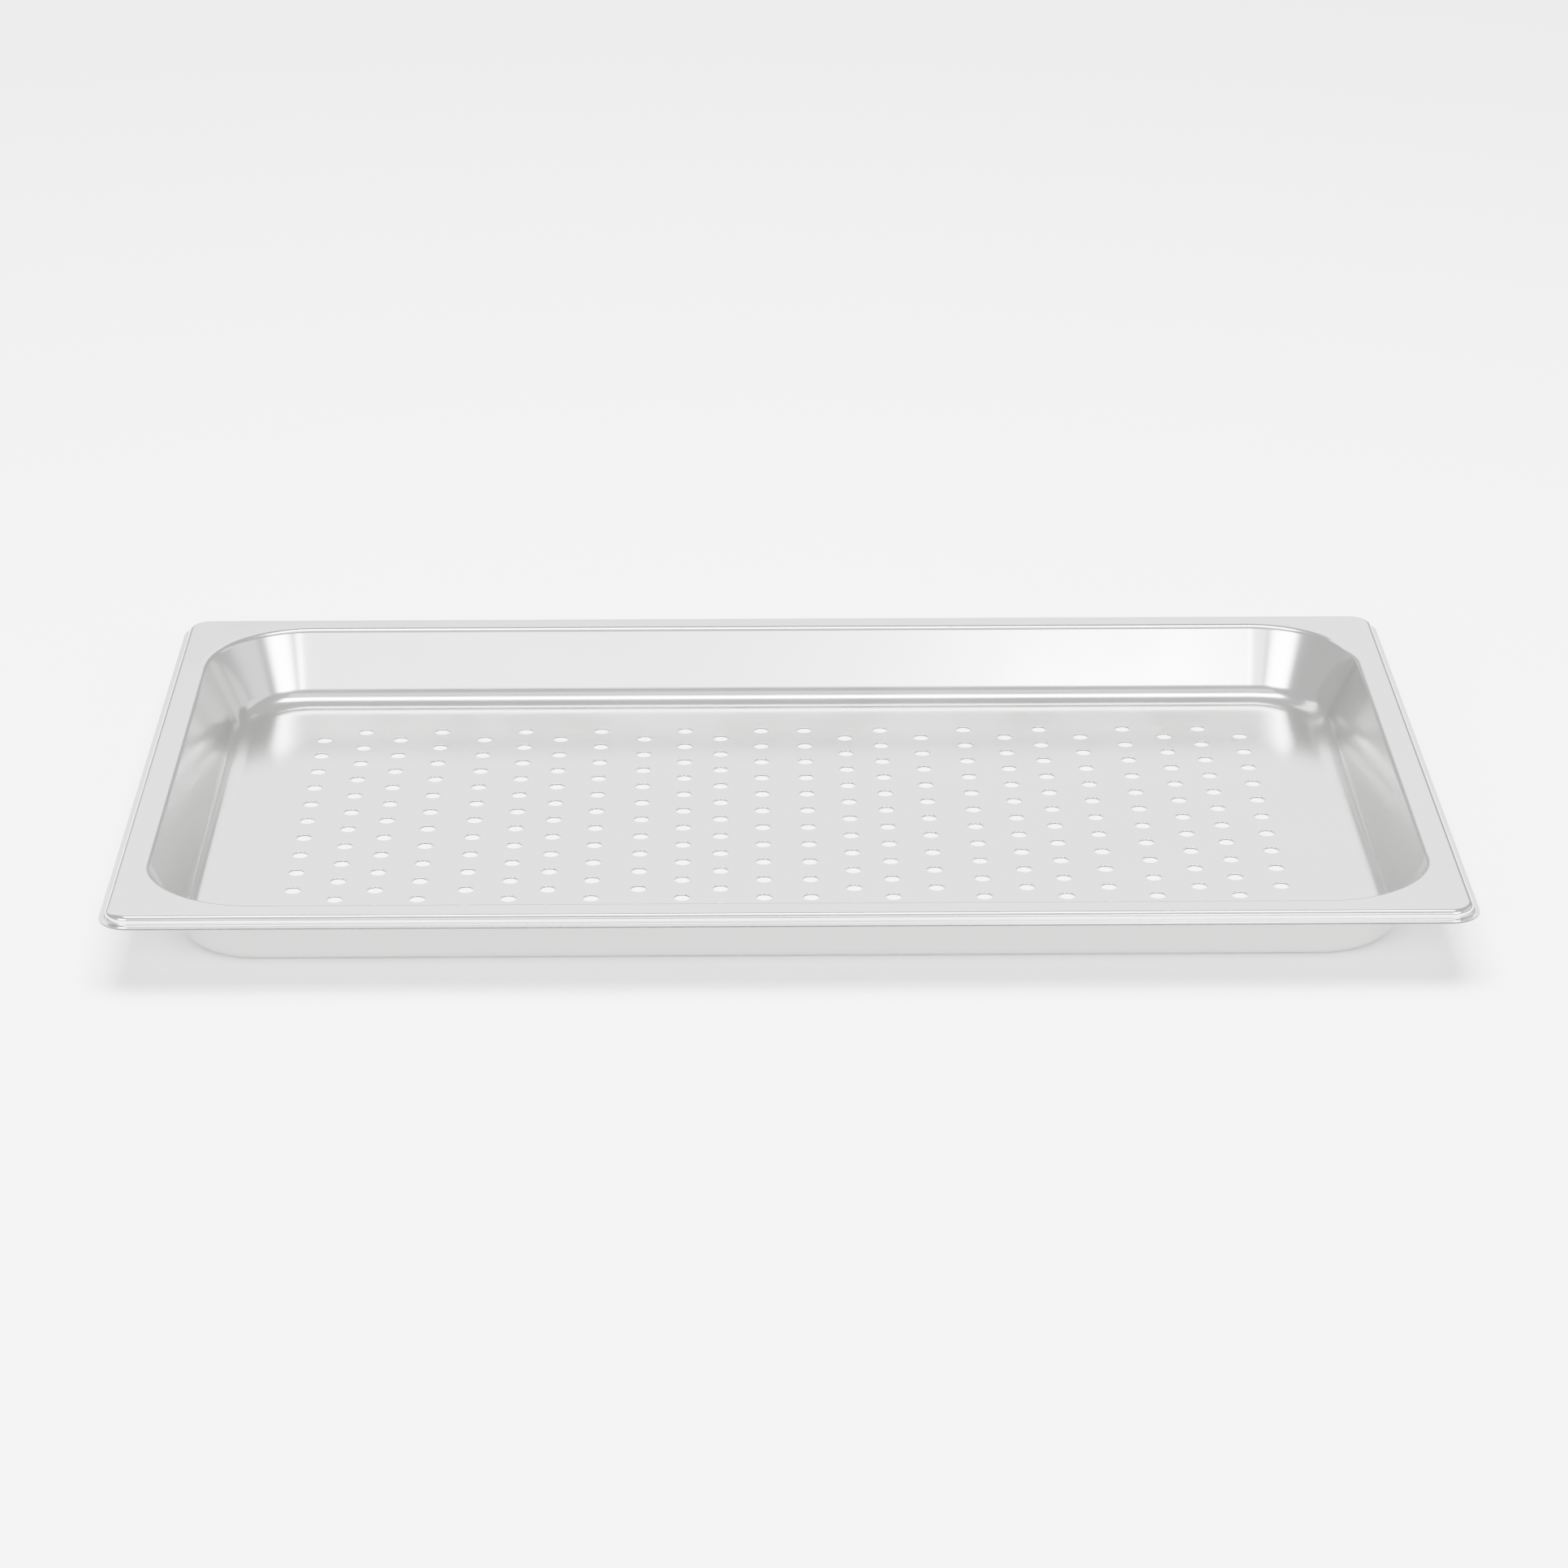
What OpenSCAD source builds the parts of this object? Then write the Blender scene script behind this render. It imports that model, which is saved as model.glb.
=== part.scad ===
// Full-size perforated gastronorm tray, drawn from one sheet of stainless steel.
// The real tray is a single piece. Each node here is one region of that sheet: the
// floor, a wall or corner of the bowl, or a run or corner of the rim. Neighbouring
// regions meet face to face. The origin is under the centre of the floor, +X is along
// the length and +Z is up.

/* [Tray] */
// Length over the lip
tray_l = 530; // [350:1:660]
// Width over the lip
tray_w = 325; // [260:1:460]
// Height from the underside of the floor to the top of the flange
tray_h = 31; // [24:0.5:65]
// Thickness of the sheet
sheet_t = 0.8; // [0.6:0.1:1.2]

/* [Rim] */
// Distance from the lip's edge to the bend into the bowl
flange_w = 12; // [9:0.5:20]
// Distance from the lip's edge to where the flat of the flange starts
roll_in = 4.5; // [3.8:0.1:6]
// Outer radius of the roll where the flange turns down
roll_r = 2.1; // [2:0.1:2.6]
// How far the top of the lip lies below the top of the flange
lip_drop = 3.6; // [3.4:0.1:6]
// Inner radius of the bend where the skirt turns out into the lip
lip_bend_r = 0.7; // [0.5:0.1:0.8]
// Corner radius of the lip in plan
lip_corner_r = 12; // [9:1:18]

/* [Bowl] */
// Lean of the walls from upright, in degrees
wall_lean = 24.5; // [5:0.5:30]
// Outer radius of the bend from the flange into the wall
mouth_bend_r = 3.2; // [2:0.1:4]
// Inner radius of the bend from the wall into the floor
floor_bend_r = 10.5; // [6:0.5:14]
// Corner radius of the bowl's mouth in plan
mouth_corner_r = 46; // [40:1:60]

/* [Holes] */
// Diameter of a drain hole
hole_d = 6.5; // [3:0.5:9]
// Number of punched groups along the tray, four columns of holes to a group
hole_groups = 6; // [2:2:6]
// Distance between the centres of neighbouring groups
group_pitch = 69.5; // [60:0.5:70]
// Distance from a group's centre to its two inner columns
inner_col = 7.75; // [6:0.25:8]
// Distance from a group's centre to its two outer columns
outer_col = 25.3; // [20:0.1:27]
// Distance between holes along a column
hole_pitch = 17.75; // [12:0.25:18]
// Number of holes in the longer columns; the columns between have one fewer
col_holes = 12; // [4:1:12]
// How far the centre of the hole field lies behind the centre of the tray
field_y = 3; // [-4:0.5:4]

/* [Hidden] */
steel = [0.80, 0.80, 0.80];
$fn = 72;

// Every section is drawn with x measured outwards from the axis that the tray's corner
// turns about, and y as the height, so one section serves both a run and a corner.
corner_r = mouth_corner_r + flange_w;
axis_x = tray_l / 2 - corner_r;
axis_y = tray_w / 2 - corner_r;
floor_top = sheet_t;
flange_under = tray_h - sheet_t;

// Bend from the flange into the wall
mouth_x = corner_r - flange_w;
mouth_c = [mouth_x, tray_h - mouth_bend_r];
// Height and depth of the straight part of the wall
wall_top_y = mouth_c[1] + mouth_bend_r * sin(wall_lean);
wall_foot_y = floor_top + floor_bend_r * (1 - sin(wall_lean));
wall_top_x = mouth_x - mouth_bend_r * cos(wall_lean);
wall_foot_x = wall_top_x - (wall_top_y - wall_foot_y) * tan(wall_lean);
// Bend from the wall into the floor
floor_x = wall_foot_x - floor_bend_r * cos(wall_lean);
floor_c = [floor_x, floor_top + floor_bend_r];
bend_overlap = 0.05;

// Roll, skirt and lip at the edge of the flange
roll_c = [corner_r - roll_in, tray_h - roll_r];
skirt_x = roll_c[0] + roll_r;
lip_top = tray_h - lip_drop;
lip_c = [skirt_x + lip_bend_r, lip_top + lip_bend_r];

// A sector of a round bend in the sheet, between two radii and two angles
module bend(c, r_in, r_out, a0, a1) {
    reach = 2 * r_out;
    mid = (a0 + a1) / 2;
    translate(c) intersection() {
        difference() {
            circle(r = r_out);
            circle(r = r_in);
        }
        polygon([[0, 0], reach * [cos(a0), sin(a0)], reach * [cos(mid), sin(mid)],
            reach * [cos(a1), sin(a1)]]);
    }
}

// Section of the bowl's side: mouth bend, leaning wall and floor bend. The straight
// part runs a little way into each bend, so that the three join into one section.
module wall_section() {
    down = [-sin(wall_lean), -cos(wall_lean)];
    out = sheet_t * [cos(wall_lean), -sin(wall_lean)];
    top = [wall_top_x, wall_top_y] - bend_overlap * down;
    foot = [wall_foot_x, wall_foot_y] + bend_overlap * down;
    bend(mouth_c, mouth_bend_r - sheet_t, mouth_bend_r, 90, 180 - wall_lean);
    polygon([top, foot, foot + out, top + out]);
    bend(floor_c, floor_bend_r, floor_bend_r + sheet_t, 270, 360 - wall_lean);
}

// Section of the rim's edge: roll, short skirt and lip
module edge_section() {
    bend(roll_c, roll_r - sheet_t, roll_r, 0, 90);
    translate([skirt_x - sheet_t, lip_c[1]])
        square([sheet_t, roll_c[1] - lip_c[1]]);
    bend(lip_c, lip_bend_r, lip_bend_r + sheet_t, 180, 270);
    translate([lip_c[0], lip_top - sheet_t])
        square([corner_r - lip_c[0], sheet_t]);
}

// Section of a straight run of rim: the flat of the flange and its edge
module rim_section() {
    translate([mouth_x, flange_under])
        square([roll_c[0] - mouth_x, sheet_t]);
    edge_section();
}

// A straight run of a section along one side, turned to face that side
module run(turn, along, away) {
    rotate(turn) translate([-along, away, 0])
        rotate([90, 0, 90]) linear_extrude(2 * along) children();
}

module long_run(turn) {
    run(turn, axis_x, axis_y) children();
}

module short_run(turn) {
    run(turn, axis_y, axis_x) children();
}

// Puts a back right corner piece, drawn about its own axis, at any of the four corners
module at_corner(side_x, side_y, turn) {
    translate([side_x * axis_x, side_y * axis_y, 0]) rotate(turn) children();
}

module corner_wall() {
    rotate_extrude(angle = 90) wall_section();
}

// Corner of the rim: a flat plate cut by the mouth, with the rolled edge round it
module rim_corner() {
    lip_axis = corner_r - lip_corner_r;
    flat_r = roll_c[0] - lip_axis;
    translate([0, 0, flange_under]) linear_extrude(sheet_t) difference() {
        union() {
            square([roll_c[0], lip_axis]);
            square([lip_axis, roll_c[0]]);
            translate([lip_axis, lip_axis]) circle(r = flat_r);
        }
        circle(r = mouth_x);
    }
    rotate([90, 0, 90]) linear_extrude(lip_axis) edge_section();
    translate([0, lip_axis, 0]) rotate([90, 0, 0]) linear_extrude(lip_axis) edge_section();
    translate([lip_axis, lip_axis, 0]) rotate_extrude(angle = 90)
        translate([-lip_axis, 0]) edge_section();
}

// One column of drain holes, count of them, centred on the field
module hole_column(x, count) {
    for (i = [0 : count - 1])
        translate([x, field_y + (i - (count - 1) / 2) * hole_pitch, -1])
            cylinder(d = hole_d, h = sheet_t + 2, $fn = 48);
}

// Longer and shorter columns alternate from the centre of the tray outwards
module drain_holes() {
    for (side = [-1, 1])
        for (g = [0 : hole_groups / 2 - 1]) {
            centre = (g + 0.5) * group_pitch;
            hole_column(side * (centre - outer_col), col_holes);
            hole_column(side * (centre - inner_col), col_holes - 1);
            hole_column(side * (centre + inner_col), col_holes);
            hole_column(side * (centre + outer_col), col_holes - 1);
        }
}

module floor_outline() {
    square([2 * axis_x, 2 * (axis_y + floor_x)], center = true);
    square([2 * (axis_x + floor_x), 2 * axis_y], center = true);
    for (side_x = [-1, 1])
        for (side_y = [-1, 1])
            translate([side_x * axis_x, side_y * axis_y]) circle(r = floor_x);
}

module floor_panel() {
    color(steel) difference() {
        linear_extrude(sheet_t) floor_outline();
        drain_holes();
    }
}

module front_wall() { color(steel) long_run(180) wall_section(); }
module back_wall() { color(steel) long_run(0) wall_section(); }
module left_wall() { color(steel) short_run(90) wall_section(); }
module right_wall() { color(steel) short_run(-90) wall_section(); }

module front_left_corner() { color(steel) at_corner(-1, -1, 180) corner_wall(); }
module front_right_corner() { color(steel) at_corner(1, -1, 270) corner_wall(); }
module back_left_corner() { color(steel) at_corner(-1, 1, 90) corner_wall(); }
module back_right_corner() { color(steel) at_corner(1, 1, 0) corner_wall(); }

module front_rim() { color(steel) long_run(180) rim_section(); }
module back_rim() { color(steel) long_run(0) rim_section(); }
module left_rim() { color(steel) short_run(90) rim_section(); }
module right_rim() { color(steel) short_run(-90) rim_section(); }

module front_left_rim_corner() { color(steel) at_corner(-1, -1, 180) rim_corner(); }
module front_right_rim_corner() { color(steel) at_corner(1, -1, 270) rim_corner(); }
module back_left_rim_corner() { color(steel) at_corner(-1, 1, 90) rim_corner(); }
module back_right_rim_corner() { color(steel) at_corner(1, 1, 0) rim_corner(); }

floor_panel();  // floor
front_wall();
back_wall();
left_wall();
right_wall();
front_left_corner();
front_right_corner();
back_left_corner();
back_right_corner();
front_rim();
back_rim();
left_rim();
right_rim();
front_left_rim_corner();
front_right_rim_corner();
back_left_rim_corner();
back_right_rim_corner();
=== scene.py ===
# %% [markdown]
# # A perforated gastronorm tray, pressed from one sheet of stainless steel
#
# The real tray is a single sheet, 0.8 mm thick. It is punched flat, drawn down into a
# shallow bowl and then rolled at its edge, so nothing on it is welded or riveted. The
# CAD model divides that sheet into regions that meet face to face. Here the whole sheet
# is modelled as one continuous piece that stands for all of them, because a joint line
# between two regions would be a fault that the real tray doesn't have.

# %% Load the frame
import bpy
import math
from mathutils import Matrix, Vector


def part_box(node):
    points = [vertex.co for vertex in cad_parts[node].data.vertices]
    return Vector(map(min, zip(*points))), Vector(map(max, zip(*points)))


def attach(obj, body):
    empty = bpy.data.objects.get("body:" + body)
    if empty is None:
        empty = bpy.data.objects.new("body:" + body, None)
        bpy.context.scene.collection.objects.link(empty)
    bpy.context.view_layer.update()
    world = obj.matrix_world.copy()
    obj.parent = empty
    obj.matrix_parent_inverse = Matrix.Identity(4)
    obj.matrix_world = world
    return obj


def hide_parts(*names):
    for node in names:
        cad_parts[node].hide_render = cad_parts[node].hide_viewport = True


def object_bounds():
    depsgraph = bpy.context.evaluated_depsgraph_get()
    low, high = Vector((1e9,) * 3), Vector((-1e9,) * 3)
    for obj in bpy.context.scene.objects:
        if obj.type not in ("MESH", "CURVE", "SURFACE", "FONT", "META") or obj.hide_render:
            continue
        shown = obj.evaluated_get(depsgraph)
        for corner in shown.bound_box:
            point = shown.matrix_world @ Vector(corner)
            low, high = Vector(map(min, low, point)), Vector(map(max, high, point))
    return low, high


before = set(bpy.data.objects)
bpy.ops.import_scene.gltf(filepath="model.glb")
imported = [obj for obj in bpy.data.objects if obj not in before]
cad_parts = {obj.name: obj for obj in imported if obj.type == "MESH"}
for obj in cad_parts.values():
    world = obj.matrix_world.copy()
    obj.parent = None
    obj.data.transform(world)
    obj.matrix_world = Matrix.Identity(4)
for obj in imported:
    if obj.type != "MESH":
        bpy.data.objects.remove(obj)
cad_lo, cad_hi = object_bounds()
bpy.ops.object.select_all(action="DESELECT")
print("CAD box in mm:", [round(1000 * v, 1) for v in (*cad_lo, *cad_hi)])

# %% [markdown]
# ## Sizes
#
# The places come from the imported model. Every side of the tray has the same section, and
# each corner is that section turned about an upright axis. The axis is where a corner
# region of the bowl starts, so the boxes of three regions give most of what is needed.

# %% Sizes read from the frame
MM = 0.001

sheet_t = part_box("floor")[1].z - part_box("floor")[0].z
half_l = cad_hi.x
half_w = cad_hi.y
flange_z = cad_hi.z
corner_lo, corner_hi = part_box("back_right_corner")
mouth_corner_r = corner_hi.x - corner_lo.x
flange_w = half_l - corner_hi.x
lip_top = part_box("back_rim")[0].z + sheet_t
floor_half_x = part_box("floor")[1].x
print("sheet", round(sheet_t / MM, 2), "flange", round(flange_w / MM, 2),
      "mouth corner", round(mouth_corner_r / MM, 1), "lip top", round(lip_top / MM, 1))

# %% Sizes of the bends, as the CAD has them
wall_lean = math.radians(24.5)
mouth_bend_r = 3.2 * MM
floor_bend_r = 10.5 * MM
lip_corner_r = 12 * MM
lip_bend_r = 0.7 * MM
roll_r = 2.1 * MM
roll_in = 4.5 * MM

# %% [markdown]
# ## The section as steps
#
# Seen from the lip's edge inwards, the top of the sheet runs level along the lip, up the
# short skirt, over the roll, across the flange, down the wall and out onto the floor. A
# modeller would make that with the inset tool: start from a flat outline of the tray and
# inset it again and again, giving each inset its own depth. So each stretch is written
# as a list of places (distance in from the lip's edge, height), and bends are arcs.

# %% Places along the section
def arc(centre, radius, start, end, steps):
    """Places on a round bend, from start to end in degrees, after the first one."""
    turns = [math.radians(start + (end - start) * i / steps) for i in range(1, steps + 1)]
    return [(centre[0] + radius * math.cos(a), centre[1] + radius * math.sin(a)) for a in turns]


lean_deg = math.degrees(wall_lean)
skirt_in = roll_in - roll_r
lip_flat_end = (skirt_in - lip_bend_r, lip_top)
edge_steps = [lip_flat_end]
edge_steps += arc((lip_flat_end[0], lip_top + lip_bend_r), lip_bend_r, -90, 0, 5)
edge_steps += [(skirt_in, flange_z - roll_r)]
edge_steps += arc((roll_in, flange_z - roll_r), roll_r, 180, 90, 10)

mouth_steps = arc((flange_w, flange_z - mouth_bend_r), mouth_bend_r, 90, lean_deg, 8)
floor_in = half_l - floor_half_x
floor_steps = arc((floor_in, sheet_t + floor_bend_r), floor_bend_r, 180 + lean_deg, 270, 14)
wall_foot = (floor_in - floor_bend_r * math.cos(wall_lean),
             sheet_t + floor_bend_r * (1 - math.sin(wall_lean)))
print(len(edge_steps), "steps over the edge,", len(mouth_steps) + 1 + len(floor_steps), "into the bowl")

# %% [markdown]
# ## Pressing the sheet
#
# Two outlines are enough. The lip's outline has tight corners of 12 mm and the mouth of
# the bowl has wide ones of 46 mm. Each starts as a plane whose four corners are bevelled
# round. The edge is inset from the first, the bowl from the second, and the flat flange
# is the bridge between them. Both outlines get the same number of corner segments, so the
# bridge is clean quads.

# %% Helpers for pressing
CORNER_SEGMENTS = 24
PLANE_SIZE = 2  # so that scaling by a half length gives that half length


def rounded_outline(name, inset, height, corner_r):
    """A flat face with the tray's outline, moved in from the lip's edge, with round corners."""
    bpy.ops.mesh.primitive_plane_add(size=PLANE_SIZE, location=(0, 0, 0))
    sheet = bpy.context.object
    sheet.name = name
    bpy.ops.object.mode_set(mode="EDIT")
    bpy.ops.transform.resize(value=(half_l - inset, half_w - inset, 1))
    bpy.ops.transform.translate(value=(0, 0, height))
    bpy.ops.mesh.bevel(offset=corner_r, segments=CORNER_SEGMENTS, affect="VERTICES")
    return sheet


def press_inwards(steps, inset, height):
    """Insets the selected face once for each place in steps, starting from inset and height."""
    for step_in, step_z in steps:
        bpy.ops.mesh.inset(thickness=step_in - inset, depth=step_z - height)
        inset, height = step_in, step_z


# %% Press the rolled edge and the bowl
rim = rounded_outline("rim", 0, lip_top, lip_corner_r)
press_inwards(edge_steps, 0, lip_top)
bpy.ops.mesh.delete(type="FACE")
bpy.ops.object.mode_set(mode="OBJECT")
bpy.ops.object.select_all(action="DESELECT")

bowl = rounded_outline("bowl", flange_w, flange_z, mouth_corner_r)
press_inwards(mouth_steps + [wall_foot] + floor_steps, flange_w, flange_z)
bpy.ops.object.mode_set(mode="OBJECT")
print("rim", len(rim.data.polygons), "faces, bowl", len(bowl.data.polygons), "faces")

# %% Bridge the flange
rim.select_set(True)
bowl.select_set(True)
bpy.context.view_layer.objects.active = rim
bpy.ops.object.join()
tray = rim
tray.name = "pressed_sheet"
HEIGHT_SLACK = 0.01 * MM


def is_flange_loop(edge):
    """True for an open edge at the height of the flange: the roll's end or the mouth."""
    heights = [tray.data.vertices[v].co.z for v in edge.vertices]
    return min(heights) > flange_z - HEIGHT_SLACK


faces_at = {}
for face in tray.data.polygons:
    for key in face.edge_keys:
        faces_at[key] = faces_at.get(key, 0) + 1
bpy.ops.object.mode_set(mode="EDIT")
bpy.ops.mesh.select_all(action="DESELECT")
bpy.ops.mesh.select_mode(type="EDGE")
bpy.ops.object.mode_set(mode="OBJECT")
for edge in tray.data.edges:
    edge.select = faces_at.get(edge.key, 0) == 1 and is_flange_loop(edge)
bpy.ops.object.mode_set(mode="EDIT")
bpy.ops.mesh.bridge_edge_loops(type="PAIRS")
bpy.ops.mesh.select_mode(type="FACE")
bpy.ops.mesh.select_all(action="SELECT")
bpy.ops.mesh.normals_make_consistent(inside=False)
bpy.ops.object.mode_set(mode="OBJECT")
print("one sheet with", len(tray.data.polygons), "faces")

# %% [markdown]
# ## The steel
#
# Gastronorm trays are 18/10 austenitic stainless steel, bought as bright annealed sheet.
# Rolling leaves a mirror that is slightly soft, with a faint grain along the sheet, and
# the press tools burnish it further. To the eye that is a neutral, light grey metal whose
# reflections have soft edges. Where the sheet has been cut, at the lip's edge and inside
# each hole, the steel has been sheared: it is rough, matt and darker. Its colour is darkened
# further with painted shade, so the thin dark line that draws the edge of the tray and the
# rim of each hole is partly the rough cut and partly painted shade.

# %% Colour and node helpers
def from_hex(code):
    """A linear colour from an sRGB hex code."""
    parts = [int(code[i:i + 2], 16) / 255 for i in (1, 3, 5)]
    return tuple(((p + 0.055) / 1.055) ** 2.4 if p > 0.04045 else p / 12.92 for p in parts) + (1.0,)


def add_node(tree, kind, links=None, **settings):
    """Adds a node, sets its properties and sockets, and links the sockets named in links."""
    node = tree.nodes.new(kind)
    for name, value in settings.items():
        socket = name.replace("_", " ")
        if socket in node.inputs:
            node.inputs[socket].default_value = value
        else:
            setattr(node, name, value)
    for name, source in (links or {}).items():
        tree.links.new(source, node.inputs[name])
    return node


def new_tree(name):
    """A new material with no nodes in it, and its node tree."""
    material = bpy.data.materials.new(name)
    material.use_nodes = True
    material.node_tree.nodes.clear()
    return material, material.node_tree


# %% Bright annealed stainless steel, pressed
def pressed_stainless():
    steel, tree = new_tree("stainless_18_10_bright_annealed_pressed")
    place = add_node(tree, "ShaderNodeTexCoord")
    # Rolling grain runs along the sheet. Its real lines are about 0.05 mm apart, too fine
    # to show, so they are drawn 0.6 mm apart and 40 times as long.
    stretch = add_node(tree, "ShaderNodeMapping", {"Vector": place.outputs["Object"]},
                       Scale=(1 / 40, 1, 1))
    grain = add_node(tree, "ShaderNodeTexNoise", {"Vector": stretch.outputs["Vector"]},
                     Scale=1 / (0.6 * MM), Detail=3.0, Roughness=0.6)
    # Handling and the press leave cloudy patches, a few centimetres across.
    cloud = add_node(tree, "ShaderNodeTexNoise", {"Vector": place.outputs["Object"]},
                     Scale=1 / (45 * MM), Detail=2.0)
    polish = add_node(tree, "ShaderNodeMapRange", {"Value": cloud.outputs["Fac"]},
                      From_Min=0.3, From_Max=0.7, To_Min=0.15, To_Max=0.19)
    bump = add_node(tree, "ShaderNodeBump", {"Height": grain.outputs["Fac"]},
                    Strength=0.05, Distance=0.02 * MM)
    surface = add_node(tree, "ShaderNodeBsdfPrincipled",
                       {"Roughness": polish.outputs["Result"], "Normal": bump.outputs["Normal"]},
                       Base_Color=from_hex("#DDDDDC"), Metallic=1.0)
    add_node(tree, "ShaderNodeOutputMaterial", {"Surface": surface.outputs["BSDF"]})
    return steel


# %% The same steel where it has been cut, darkened with painted shade
def sheared_stainless_with_painted_shade():
    sheared_with_shade, tree = new_tree("stainless_18_10_sheared_edge_with_painted_shade")
    place = add_node(tree, "ShaderNodeTexCoord")
    # A sheared face is scored across the thickness. The scores are some 0.1 mm apart.
    stretch = add_node(tree, "ShaderNodeMapping", {"Vector": place.outputs["Object"]},
                       Scale=(1, 1, 1 / 8))
    scores = add_node(tree, "ShaderNodeTexNoise", {"Vector": stretch.outputs["Vector"]},
                      Scale=1 / (0.1 * MM), Detail=2.0)
    bump = add_node(tree, "ShaderNodeBump", {"Height": scores.outputs["Fac"]},
                    Strength=0.3, Distance=0.02 * MM)
    # The dark base colour is partly painted shade: it makes the cut faces darker than the sheared
    # finish alone would, to draw a dark line along the lip's edge and round each hole.
    surface = add_node(tree, "ShaderNodeBsdfPrincipled", {"Normal": bump.outputs["Normal"]},
                       Base_Color=from_hex("#505050"), Metallic=1.0, Roughness=0.45)
    add_node(tree, "ShaderNodeOutputMaterial", {"Surface": surface.outputs["BSDF"]})
    return sheared_with_shade


PRESSED, SHEARED_WITH_PAINTED_SHADE = 0, 1
steels = (pressed_stainless(), sheared_stainless_with_painted_shade())

# %% [markdown]
# ## Thickness
#
# A pressed sheet keeps its gauge, so Solidify gives the whole of it 0.8 mm, all on the
# underside, because the section above is the sheet's top. The cut edge of the lip is
# then eased with a small bevel: trimming leaves it crisp but never razor sharp, and that
# narrow round is what catches the light as a thin line round the tray.

# %% Turn the faces up, then thicken
edge_ease = 0.12 * MM
sharp_from = math.radians(70)
floor_face = max(tray.data.polygons, key=lambda face: face.area)
if floor_face.normal.z < 0:
    tray.data.flip_normals()
thick = tray.modifiers.new("gauge", "SOLIDIFY")
thick.thickness = sheet_t
thick.offset = -1
thick.use_even_offset = True
thick.use_quality_normals = True
bpy.context.view_layer.objects.active = tray
bpy.ops.object.modifier_apply(modifier="gauge")

bpy.ops.object.mode_set(mode="EDIT")
bpy.ops.mesh.select_mode(type="EDGE")
bpy.ops.mesh.select_all(action="DESELECT")
bpy.ops.mesh.edges_select_sharp(sharpness=sharp_from)
bpy.ops.mesh.bevel(offset=edge_ease, segments=2, affect="EDGES")
bpy.ops.object.mode_set(mode="OBJECT")
print("thick sheet has", len(tray.data.polygons), "faces")

# %% Give the sheet its steel, and the lip's cut edge the sheared steel with painted shade
# The cut edge faces outwards. Its lower bevel gets the sheared steel and its painted shade
# too, and the upper one is left bright, because the tool that rolls the edge rubs it.
tray.data.materials.clear()
for steel in steels:
    tray.data.materials.append(steel)
cut_faces = 0
for face in tray.data.polygons:
    in_edge = lip_top - sheet_t < face.center.z < lip_top
    outward = face.normal.x * face.center.x + face.normal.y * face.center.y > 0
    if in_edge and outward and -0.8 < face.normal.z < 0.2:
        face.material_index = SHEARED_WITH_PAINTED_SHADE
        cut_faces += 1
print(cut_faces, "faces round the cut edge of the lip")

# %% [markdown]
# ## Drain holes
#
# The holes are punched before the sheet is drawn, by a tool four columns wide that
# strikes six times along the tray. That is why the columns are not evenly spaced: the
# two inner columns of a group are closer together, and there is a wider step from one
# strike to the next. A punch drags the top of the sheet down with it, so the upper edge
# of each hole is rolled over and the lower edge is sharp. The punch is modelled once,
# with that flare on it, arrayed into columns, and cut out of the floor in one go.

# %% Sizes of the hole field
hole_r = 3.25 * MM
hole_pitch = 17.75 * MM
group_pitch = 69.5 * MM
strikes_per_side = 3
inner_col = 7.75 * MM
outer_col = 25.3 * MM
field_y = 3 * MM
col_holes = 12
punch_sides = 24

# %% Model one punch
def flared_punch():
    """A round punch as wide as the hole, flared where it meets the top of the floor."""
    flare = [(hole_r, -0.5 * MM), (hole_r, sheet_t - 0.30 * MM),
             (hole_r + 0.05 * MM, sheet_t - 0.09 * MM), (hole_r + 0.20 * MM, sheet_t + 0.05 * MM)]
    bpy.ops.mesh.primitive_circle_add(vertices=punch_sides, radius=flare[0][0], fill_type="NGON",
                                      location=(0, 0, 0))
    punch = bpy.context.object
    bpy.ops.object.mode_set(mode="EDIT")
    bpy.ops.transform.translate(value=(0, 0, flare[0][1]))
    for (r_now, z_now), (r_next, z_next) in zip(flare, flare[1:]):
        bpy.ops.mesh.extrude_region_move(
            TRANSFORM_OT_translate={"value": (0, 0, z_next - z_now)})
        scale = r_next / r_now
        bpy.ops.transform.resize(value=(scale, scale, 1))
    bpy.ops.mesh.select_all(action="SELECT")
    bpy.ops.mesh.normals_make_consistent(inside=False)
    bpy.ops.object.mode_set(mode="OBJECT")
    for steel in steels:
        punch.data.materials.append(steel)
    # The wall of each hole takes the sheared steel, whose dark colour puts a ring of painted shade
    # round the rim of the hole.
    for face in punch.data.polygons:
        face.material_index = SHEARED_WITH_PAINTED_SHADE if face.center.z < flare[1][1] else PRESSED
    return punch


def punch_column(x, count):
    """A column of punches, centred on the hole field."""
    bpy.ops.object.select_all(action="DESELECT")
    punch = flared_punch()
    repeat = punch.modifiers.new("column", "ARRAY")
    repeat.count = count
    repeat.use_relative_offset = False
    repeat.use_constant_offset = True
    repeat.constant_offset_displace = (0, hole_pitch, 0)
    bpy.ops.object.modifier_apply(modifier="column")
    punch.location = (x, field_y - hole_pitch * (count - 1) / 2, 0)
    bpy.ops.object.transform_apply(location=True, rotation=False, scale=False)
    return punch


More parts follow.
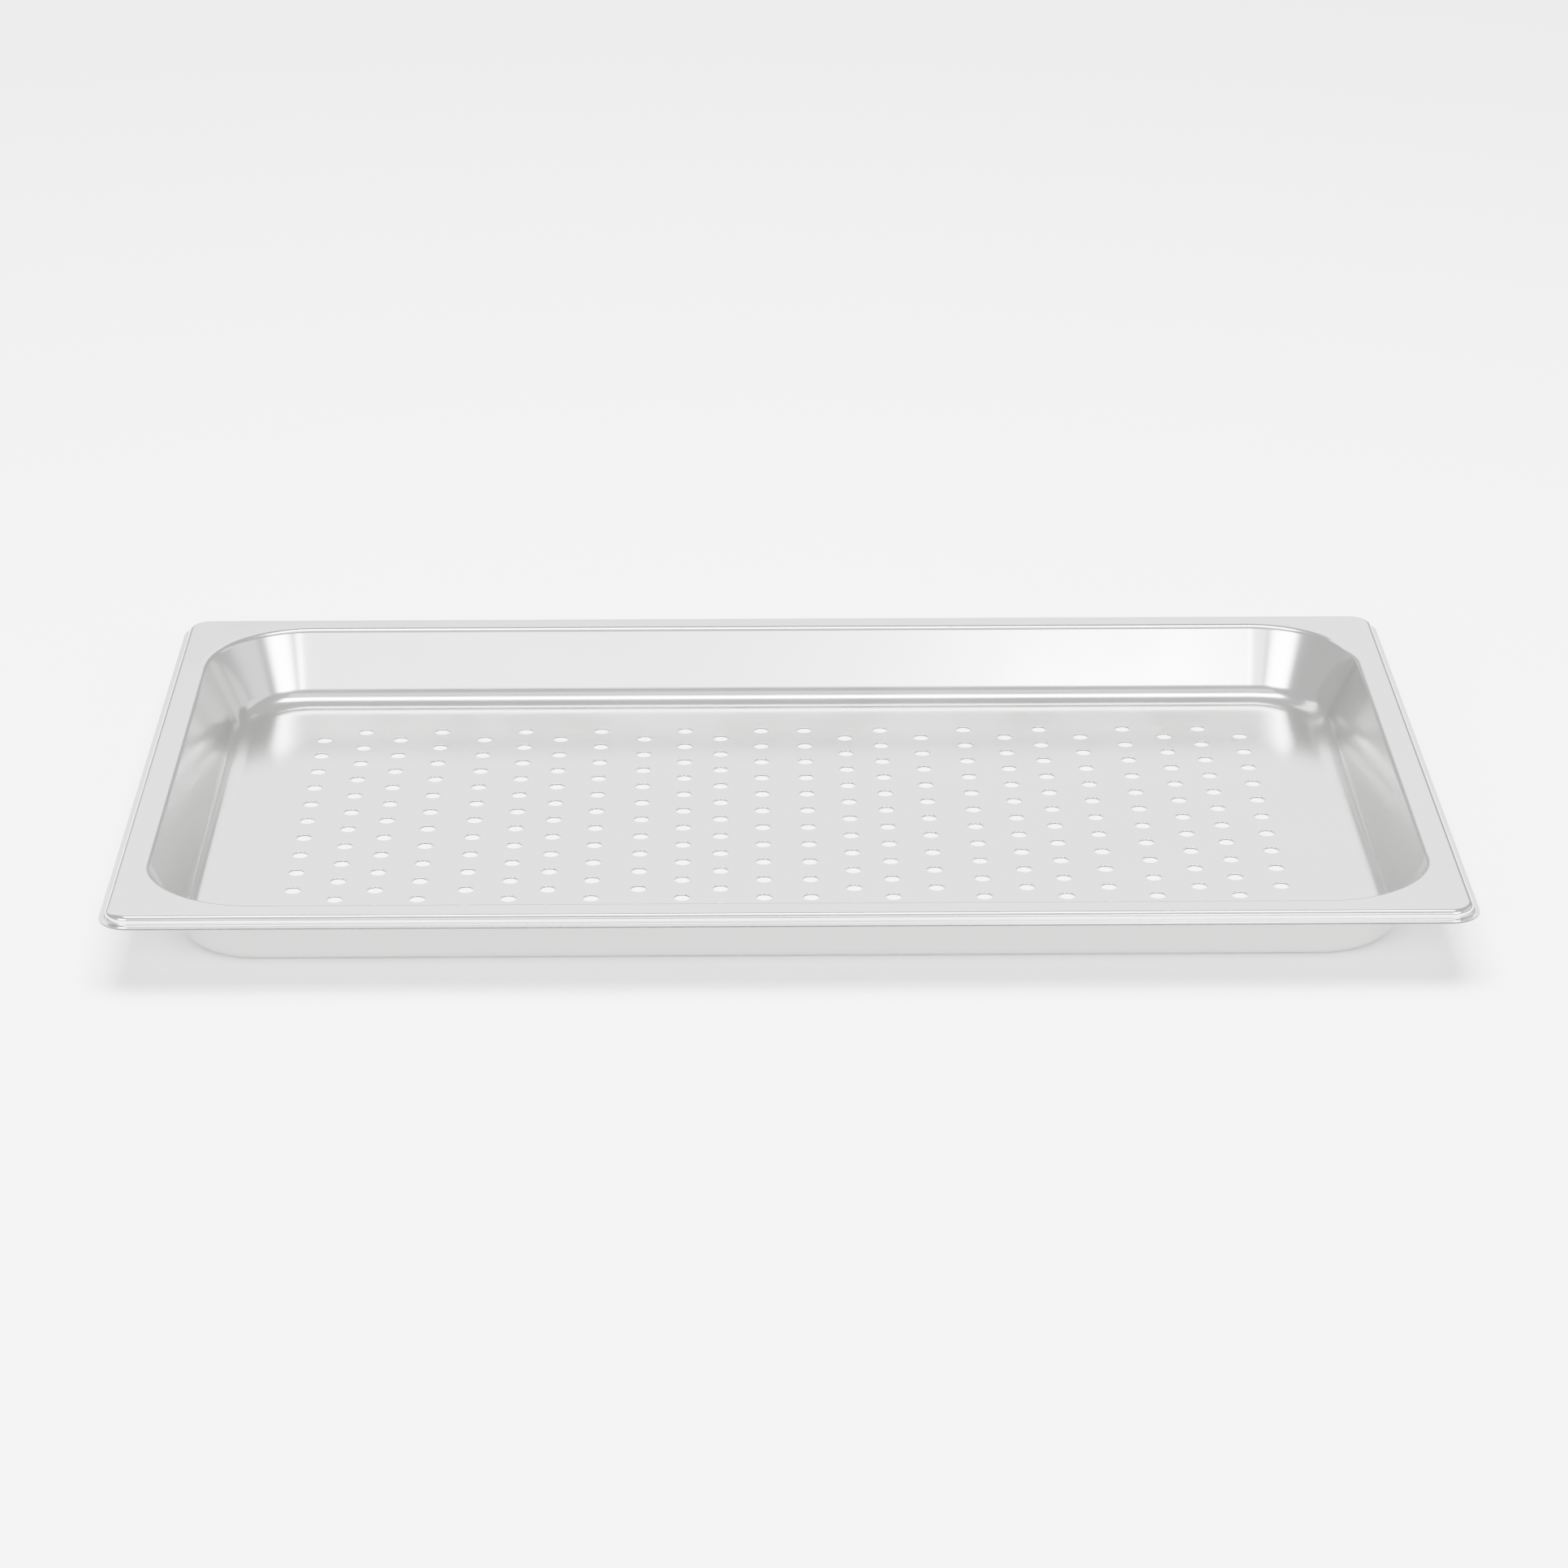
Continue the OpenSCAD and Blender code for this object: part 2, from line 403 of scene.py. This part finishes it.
# %% Punch the floor
columns = []
for side in (-1, 1):
    for strike in range(strikes_per_side):
        centre = (strike + 0.5) * group_pitch
        columns.append(punch_column(side * (centre - outer_col), col_holes))
        columns.append(punch_column(side * (centre - inner_col), col_holes - 1))
        columns.append(punch_column(side * (centre + inner_col), col_holes))
        columns.append(punch_column(side * (centre + outer_col), col_holes - 1))
bpy.ops.object.select_all(action="DESELECT")
for column in columns:
    column.select_set(True)
bpy.context.view_layer.objects.active = columns[0]
bpy.ops.object.join()
punches = columns[0]

bpy.ops.object.select_all(action="DESELECT")
tray.select_set(True)
bpy.context.view_layer.objects.active = tray
cut = tray.modifiers.new("punch", "BOOLEAN")
cut.operation = "DIFFERENCE"
cut.solver = "EXACT"
cut.material_mode = "TRANSFER"
cut.object = punches
bpy.ops.object.modifier_apply(modifier="punch")
bpy.data.objects.remove(punches)
print(len(columns), "columns; the punched sheet has", len(tray.data.polygons), "faces")

# %% [markdown]
# ## Shading
#
# Reflections show every fault in a metal's normals. The bends are shaded smooth, the
# sharp edges stay sharp, and Weighted Normal makes each large flat face keep its own
# direction right up to its border, so the floor stays dead flat between its holes.

# %% Smooth the bends
bpy.ops.object.shade_smooth_by_angle(angle=math.radians(45))
weigh = tray.modifiers.new("flats", "WEIGHTED_NORMAL")
weigh.mode = "FACE_AREA"
weigh.weight = 100
weigh.keep_sharp = True
bpy.ops.object.modifier_apply(modifier="flats")
print("smooth below 45 degrees:", sum(not e.use_edge_sharp for e in tray.data.edges), "edges")

# %% Put it on its body
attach(tray, "root")
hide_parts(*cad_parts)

# %% [markdown]
# ## The studio
#
# The tray is shown as a catalogue shows it: on white paper, in soft light from all round.
# The paper is one large plane. The camera looks down on it, so its far edge stays out
# of the picture.

# %% White floor
bpy.ops.object.select_all(action="DESELECT")
bpy.ops.mesh.primitive_plane_add(size=8, location=(0, 0, 0))
ground = bpy.context.object
ground.name = "studio_floor"
paper = bpy.data.materials.new("white_paper")
paper.use_nodes = True
paper.node_tree.nodes["Principled BSDF"].inputs["Base Color"].default_value = from_hex("#FBFBFB")
paper.node_tree.nodes["Principled BSDF"].inputs["Roughness"].default_value = 0.9
ground.data.materials.append(paper)
print("paper floor", round(ground.dimensions.x, 1), "m wide")

# %% [markdown]
# ## Light for bright steel
#
# Bright steel has hardly any colour of its own: each face shows what stands opposite it,
# so each lamp is placed for the face that reflects it. The flange and the floor show the
# back sweep. The far wall shows the front screen, with a lamp that brightens its right
# half. The round corners show the two side lamps as upright glows, and the long bend
# under the far wall shows the overhead strip as a thin bright line. The faint ceiling and
# right screen fill what is left between them. Lamps are given by their brightness as
# seen, and the watts follow from it and from their size.

# %% A helper for soft lamps
def softbox(name, azimuth, elevation, distance, width, height, radiance, fade=0.0):
    """An area light facing the tray, at an angle seen from it. Azimuth 0 is in front.

    fade is how much of the way from its edge to its middle the light takes to reach full
    strength, because a real softbox is brightest in the middle.
    """
    a, e = math.radians(azimuth), math.radians(elevation)
    place = distance * Vector((math.sin(a) * math.cos(e), -math.cos(a) * math.cos(e), math.sin(e)))
    lamp = bpy.data.lights.new(name, "AREA")
    lamp.shape = "RECTANGLE"
    lamp.size = width
    lamp.size_y = height
    lamp.energy = radiance * math.pi * width * height
    if fade:
        lamp.use_nodes = True
        tree = lamp.node_tree
        face = add_node(tree, "ShaderNodeNewGeometry")
        middle = add_node(tree, "ShaderNodeMapping", {"Vector": face.outputs["Parametric"]},
                          Location=(-1, -1, 0), Scale=(2, 2, 0))
        ball = add_node(tree, "ShaderNodeTexGradient", {"Vector": middle.outputs["Vector"]},
                        gradient_type="SPHERICAL")
        edge = add_node(tree, "ShaderNodeMapRange", {"Value": ball.outputs["Fac"]},
                        interpolation_type="SMOOTHSTEP", From_Max=fade)
        tree.links.new(edge.outputs["Result"], tree.nodes["Emission"].inputs["Strength"])
    box = bpy.data.objects.new(name, lamp)
    box.location = place
    box.rotation_euler = (-place).to_track_quat("-Z", "Y").to_euler()
    bpy.context.scene.collection.objects.link(box)
    print(name, round(lamp.energy), "W")
    return box


# %% The room
world = bpy.data.worlds.new("studio_room")
bpy.context.scene.world = world
world.use_nodes = True
world.node_tree.nodes["Background"].inputs["Color"].default_value = (1, 1, 1, 1)
world.node_tree.nodes["Background"].inputs["Strength"].default_value = 0.85

# %% Place the lamps
softbox("overhead", 0, 86.8, 2.0, 1.5, 0.45, 26)
softbox("ceiling", 0, 62, 2.2, 1.6, 0.6, 1.2)
softbox("back_sweep", 200, 34.5, 3.0, 4.2, 1.75, 2.75)
softbox("front_screen", 0, 27, 3.2, 1.25, 0.7, 5.2)
softbox("front_lamp", 9.5, 27, 3.1, 0.6, 0.9, 22, fade=0.9)
softbox("right_lamp", 35, 26, 2.6, 1.6, 0.9, 24, fade=0.4)
softbox("left_lamp", -35, 26, 2.6, 1.85, 0.9, 24, fade=0.4)
softbox("right_screen", 95, 25, 3.0, 3.0, 1.0, 1.2)
# This one whitens the paper. It is kept out of reflections, as a shade would keep it.
paper_lamp = softbox("paper_lamp", 0, 90, 2.5, 2.0, 2.0, 26)
paper_lamp.visible_glossy = False

# %% [markdown]
# ## Camera
#
# A long lens from the front, a little above the tray and a touch to its left, keeps the
# sides from spreading and still looks down into the bowl.

# %% Camera
aim = Vector((-1.0 * MM, -32.0 * MM, flange_z))
yaw, pitch = math.radians(-0.7), math.radians(22.8)
distance = 1.8545
back = Vector((math.cos(pitch) * math.sin(yaw), -math.cos(pitch) * math.cos(yaw), math.sin(pitch)))
lens = bpy.data.cameras.new("camera")
lens.sensor_width = 36
lens.lens = 104.5
camera = bpy.data.objects.new("camera", lens)
camera.location = aim + distance * back
camera.rotation_euler = (-back).to_track_quat("-Z", "Y").to_euler()
bpy.context.scene.collection.objects.link(camera)
bpy.context.scene.camera = camera
print("camera", round(distance, 2), "m away,", lens.lens, "mm lens")
